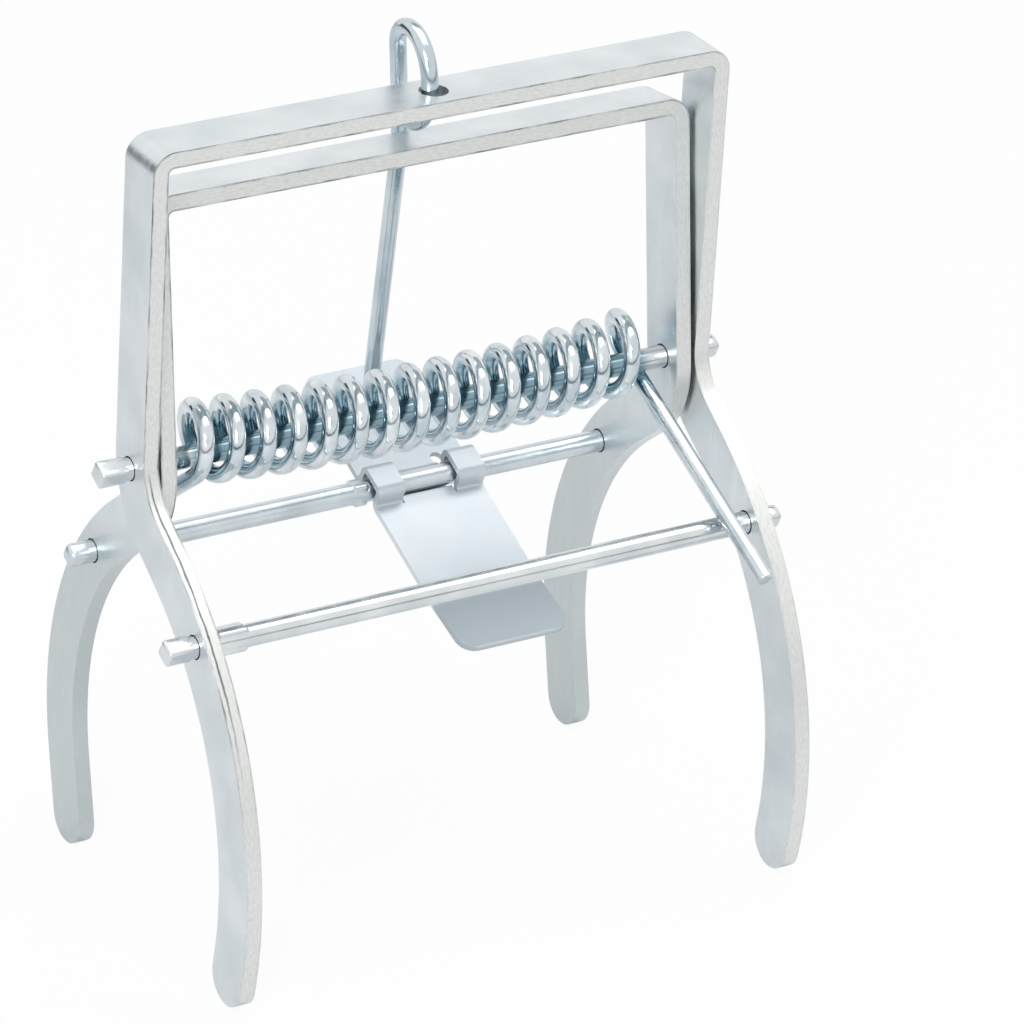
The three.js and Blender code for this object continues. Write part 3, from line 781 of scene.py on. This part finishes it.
# %% Wire from a list of points
def wire_along(name, points, diameter, material):
    line = bpy.data.curves.new(name, "CURVE")
    line.dimensions = "3D"
    line.bevel_depth = diameter / 2
    line.bevel_resolution = 8
    line.use_fill_caps = True
    spline = line.splines.new("POLY")
    spline.points.add(len(points) - 1)
    for spot, point in zip(spline.points, points):
        spot.co = (*point, 1)
    wire = bpy.data.objects.new(name, line)
    scene.collection.objects.link(wire)
    only_select(wire)
    bpy.ops.object.convert(target="MESH")
    wire = bpy.context.object
    face_outwards(wire)
    wire.data.materials.clear()
    wire.data.materials.append(material)
    soften(wire, 0.25 * MM, segments=2, angle=60)
    return wire


# %% Sizes of the spring
spring_wire = 3 * MM
coil_radius = (15.3 * MM - spring_wire) / 2
coil_right = 41.1 * MM
coil_left = -43.8 * MM
coil_tops = 15
coil_pitch = (coil_right - coil_left) / (coil_tops - 1)
steps_per_turn = 36


def coil_lift(x):
    """The coils rest on the axle in the middle and are lifted a little at both ends."""
    half_span = (coil_right - coil_left) / 2
    share = (x - (coil_right + coil_left) / 2) / half_span
    # The long leg pulls the right end harder, so the coils rise later there
    rise_power = 3 if share > 0 else 2
    return 2.5 * MM - 2 * MM * (1 - abs(share) ** rise_power)


def leaving_angle(rod_back, rod_drop, lift):
    """How steeply a leg goes down so that it passes just over its rod."""
    reach = coil_radius + rod_width / 2 + spring_wire / 2 + 0.3 * MM
    away = math.hypot(rod_back, rod_drop + lift)
    return math.atan2(rod_drop + lift, abs(rod_back)) - math.asin(reach / away)


def smooth_share(value):
    value = min(1, max(0, value))
    return value * value * (3 - 2 * value)


# %% Torsion spring
def spring_points():
    right = leaving_angle(front_rod_back, front_rod_drop, coil_lift(coil_right))
    left = leaving_angle(rear_rod_back, rear_rod_drop, coil_lift(coil_left))
    turn_from = -(math.pi - right)
    turn_to = 2 * math.pi * (coil_tops - 1) + math.pi - left
    steps = round((turn_to - turn_from) / (2 * math.pi) * steps_per_turn)
    coils = []
    for step in range(steps + 1):
        turn = turn_from + (turn_to - turn_from) * step / steps
        # Before the first top the wire is drawn a little to the right, towards its leg
        spread = 2 * MM * smooth_share(turn / turn_from)
        x = coil_right - coil_pitch * turn / (2 * math.pi) + spread
        height = coil_lift(x) + coil_radius * math.cos(turn)
        coils.append(Vector((x, -coil_radius * math.sin(turn), height)))

    def leg(start, slope, side, rod_back, past, drift):
        """A straight end that goes past its rod and drifts sideways on its way."""
        along = Vector((0, side * math.cos(slope), -math.sin(slope)))
        length = abs(rod_back - start.y) / math.cos(slope) + past
        points = []
        for step in range(1, 9):
            point = start + along * (length * step / 8)
            point.x -= side * drift * step / 8
            points.append(point)
        return points

    front = leg(coils[0], right, -1, front_rod_back, 17.2 * MM, 3 * MM)
    rear = leg(coils[-1], left, 1, rear_rod_back, 5 * MM, 1.5 * MM)
    return [p + Vector((0, 0, axle_height)) for p in [*reversed(front), *coils, *rear]]


spring = wire_along("torsion_spring_wire", spring_points(), spring_wire, spring_zinc)
print("spring has", len(spring.data.polygons), "faces")

# %% [markdown]
# ## The latch rod
# One more wire: its upper end is bent to an oval eye that hangs in the hole of the outer bar,
# and its lower end presses on the plate's flag. The eye is an ellipse that leans back a little.
# The wire leaves it at the back, slants down past the inner bar, and runs straight to the flag.

# %% Latch rod
latch_wire = 3 * MM
eye_deep = 6.5 * MM
eye_tall = 8.3 * MM
# The plate on which the rod's tip rests: its sheet, its slope and how far it lies below the rod
sheet = 1.1 * MM
plate_slope = math.radians(26)
below_rod = 0.9 * MM


def latch_points():
    lean = outer_shape["lean"]
    out = Vector((0, -math.cos(lean), -math.sin(lean)))
    up = Vector((0, -math.sin(lean), math.cos(lean)))
    eye_lift = 0.27 * MM
    centre = up * outer_shape["rise"] - out * 7 * MM + up * eye_lift + Vector((-0.65 * MM, 0, 0))
    eye_lean = math.radians(7.5)
    back = Vector((0, math.cos(eye_lean), -math.sin(eye_lean)))
    top = Vector((0, math.sin(eye_lean), math.cos(eye_lean)))

    def eye(turn):
        return centre + back * (eye_deep * math.cos(turn)) + top * (eye_tall * math.sin(turn))

    neck = Vector((4.6, 16.6, 44)) * MM
    # The ring starts where a line from the neck just touches the ellipse
    from_centre = neck - centre
    seen = Vector((from_centre.dot(back) / eye_deep, from_centre.dot(top) / eye_tall))
    start = math.atan2(seen.y, seen.x) + math.acos(1 / seen.length)
    end = math.radians(316)
    ring = [eye(start + (end - start) * step / 60) for step in range(61)]
    # Its first stretch comes in sideways, so that the wire doesn't kink there
    eased = 13
    for step in range(eased):
        ring[step].x += 1.05 * MM * (1 - step / eased) ** 2
    tip_back = 38.2 * MM
    under_line = (below_rod - sheet / 2) / math.cos(plate_slope)
    flag = -rear_rod_drop + (tip_back - rear_rod_back) * math.tan(plate_slope) - under_line
    tip = Vector((13.2 * MM, tip_back, flag + 0.75 * MM))
    near_tip = neck + (tip - neck).normalized() * 6 * MM
    near_eye = neck + (ring[0] - neck).normalized() * 6 * MM
    bend = []
    bend_steps = 12
    for step in range(bend_steps + 1):
        share = step / bend_steps
        bend.append(near_tip * (1 - share) ** 2
                    + neck * 2 * share * (1 - share)
                    + near_eye * share ** 2)
    return [p + Vector((0, 0, axle_height)) for p in [tip, *bend, *ring]]


latch = wire_along("latch_rod_wire", latch_points(), latch_wire, latch_zinc)
print("latch rod has", len(latch.data.polygons), "faces")

# %% [markdown]
# ## The trigger plate
# The plate is one piece of 1.1 mm sheet. Two slits were cut where the rear rod passes, each
# ending in a small round hole that keeps the sheet from tearing, and the three bands between
# them were pressed up and down round the rod: the two ears arch over it and the middle band dips
# under it. The bands are bent with the same Bender as the strap, joined to the flat of the plate,
# and the whole plate is then sloped.

# %% Sizes of the plate
plate_width = 22 * MM
ear_width = 5.4 * MM
slit = 0.4 * MM
flag_length = 27.4 * MM
tongue_length = 25 * MM
lip_length = 13 * MM
sheet_reach = 2.35 * MM + sheet / 2
corner = 0.55 * MM + sheet / 2
zone = sheet_reach + corner + 0.05 * MM
# The bands run this far into the flat parts, and are then joined with them
band_end = zone + 0.3 * MM
shelf_back = 2.45 * MM
relief_hole = 2.4 * MM
hole_back = 4.15 * MM
flag_corner = 3 * MM
lip_corner = 3.2 * MM


def band(name, x_from, x_to, start_back):
    """A strip of sheet that starts at that distance behind the rod and heads for the front."""
    width = x_to - x_from
    at = ((x_from + x_to) / 2, start_back, -below_rod)
    piece = flat_section(name, at, (math.radians(90), 0, 0), (width, sheet))
    return piece, Bender(at, (0, -1, 0), (1, 0, 0))


def finish_band(piece):
    bpy.ops.object.mode_set(mode="OBJECT")
    face_outwards(piece)
    return piece


# %% Bend the plate's bands
def ear(name, x_from):
    piece, bender = band(name, x_from, x_from + ear_width, band_end)
    quarter = math.radians(90)
    up = sheet_reach + below_rod - 2 * corner
    bender.run(band_end - sheet_reach - corner)
    bender.turn(-quarter, corner, 8)
    bender.run(up)
    bender.turn(quarter, corner, 8)
    bender.run(2 * (sheet_reach - corner))
    bender.turn(quarter, corner, 8)
    bender.run(up)
    bender.turn(-quarter, corner, 8)
    bender.run(band_end - sheet_reach - corner)
    return finish_band(piece)


def trough(name, x_from, x_to):
    piece, bender = band(name, x_from, x_to, band_end)
    turned = math.acos((corner + below_rod) / (corner + sheet_reach))
    straight = band_end - (corner + sheet_reach) * math.sin(turned)
    bender.run(straight)
    bender.turn(turned, corner, 6)
    bender.turn(-2 * turned, sheet_reach, 20)
    bender.turn(turned, corner, 6)
    bender.run(straight)
    return finish_band(piece)


def flat_part(name, start, moves):
    piece, bender = band(name, -plate_width / 2, plate_width / 2, start)
    for move in moves:
        move(bender)
    return finish_band(piece)


# %% Join the plate's bands
half_plate = plate_width / 2
flag = flat_part("flag", flag_length, [lambda b: b.run(flag_length - zone)])
tongue = flat_part("tongue", -zone, [
    lambda b: b.run(tongue_length - zone),
    lambda b: b.turn(math.radians(-5.5), 4 * MM, 4),
    lambda b: b.run(lip_length),
])
# The middle band was sheared as it was pressed down, so its top stays flat right up to the rod
shelf, shelf_bender = band(
    "middle_shelf", -half_plate + ear_width + slit, half_plate - ear_width - slit, -shelf_back)
shelf_bender.run(band_end - shelf_back)
bands = [
    finish_band(shelf),
    ear("left_ear", -half_plate),
    ear("right_ear", half_plate - ear_width),
    trough("middle_band", -half_plate + ear_width + slit, half_plate - ear_width - slit),
    tongue,
]
plate = flag
plate.name = "trigger_plate_sheet"
for part in bands:
    apply_modifier(plate, "BOOLEAN", object=part, operation="UNION", solver="EXACT")
    bpy.data.objects.remove(part)
pick(plate, "FACE", lambda face: True)
bpy.ops.mesh.remove_doubles(threshold=0.02 * MM)
bpy.ops.mesh.dissolve_degenerate(threshold=0.02 * MM)
bpy.ops.mesh.dissolve_limited(angle_limit=math.radians(1))
leave_edit()


# %% Round the plate's corners, drill its slit ends and slope it
def round_corners(piece, chosen, radius):
    """Rounds the edges through the sheet whose middle point is chosen."""
    def through_sheet(edge):
        ends = [piece.data.vertices[i].co for i in edge.vertices]
        upright_edge = abs(ends[0].x - ends[1].x) < 0.01 * MM
        sheet_long = 0.8 * sheet < (ends[0] - ends[1]).length < 1.2 * sheet
        return upright_edge and sheet_long and chosen((ends[0] + ends[1]) / 2)

    pick(piece, "EDGE", through_sheet)
    bpy.ops.mesh.bevel(offset=radius, segments=8, affect="EDGES")
    leave_edit()


side_from = half_plate - 0.1 * MM
flag_from = flag_length - 0.1 * MM
round_corners(plate, lambda p: p.y > flag_from and abs(p.x) > side_from, flag_corner)
lip_from = min(v.co.y for v in plate.data.vertices) + 0.4 * MM
round_corners(plate, lambda p: p.y < lip_from and abs(p.x) > side_from, lip_corner)
for x in (-half_plate + ear_width + slit / 2, half_plate - ear_width - slit / 2):
    drill(plate, (x, hole_back, -below_rod), (0, 0, 1), relief_hole, 2.4 * MM)
soften(plate, 0.22 * MM, segments=3, angle=40)
plate.data.materials.clear()
plate.data.materials.append(sheet_zinc)
only_select(plate)
plate.rotation_euler = (plate_slope, 0, 0)
plate.location = (13 * MM, rear_line.y, rear_line.z)
bpy.ops.object.transform_apply(location=True, rotation=True, scale=True)
print("plate has", len(plate.data.polygons), "faces")

# %% [markdown]
# ## The pieces ride on their bodies
# Each new piece stands for one CAD node, whose own mesh is hidden, and all but the spring move
# with that node's body. The spring crosses the jaw's hinge, its right end on the outer frame and
# its left end on the inner frame; here it is left where it was made.

# %% Ride and replace
for piece, body, node, finish in (
    (outer, "outer", "outer_frame", "strap_zinc"),
    (axle, "outer", "axle", "rod_zinc"),
    (front_rod, "outer", "front_rod", "rod_zinc"),
    (inner, "inner", "inner_frame", "strap_zinc"),
    (rear_rod, "pivot_rod", "rear_rod", "rod_zinc"),
    (plate, "plate", "trigger_plate", "sheet_zinc"),
    (latch, "latch", "latch_rod", "wire_zinc"),
):
    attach(piece, body)
    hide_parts(node)

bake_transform(spring)
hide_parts("torsion_spring")
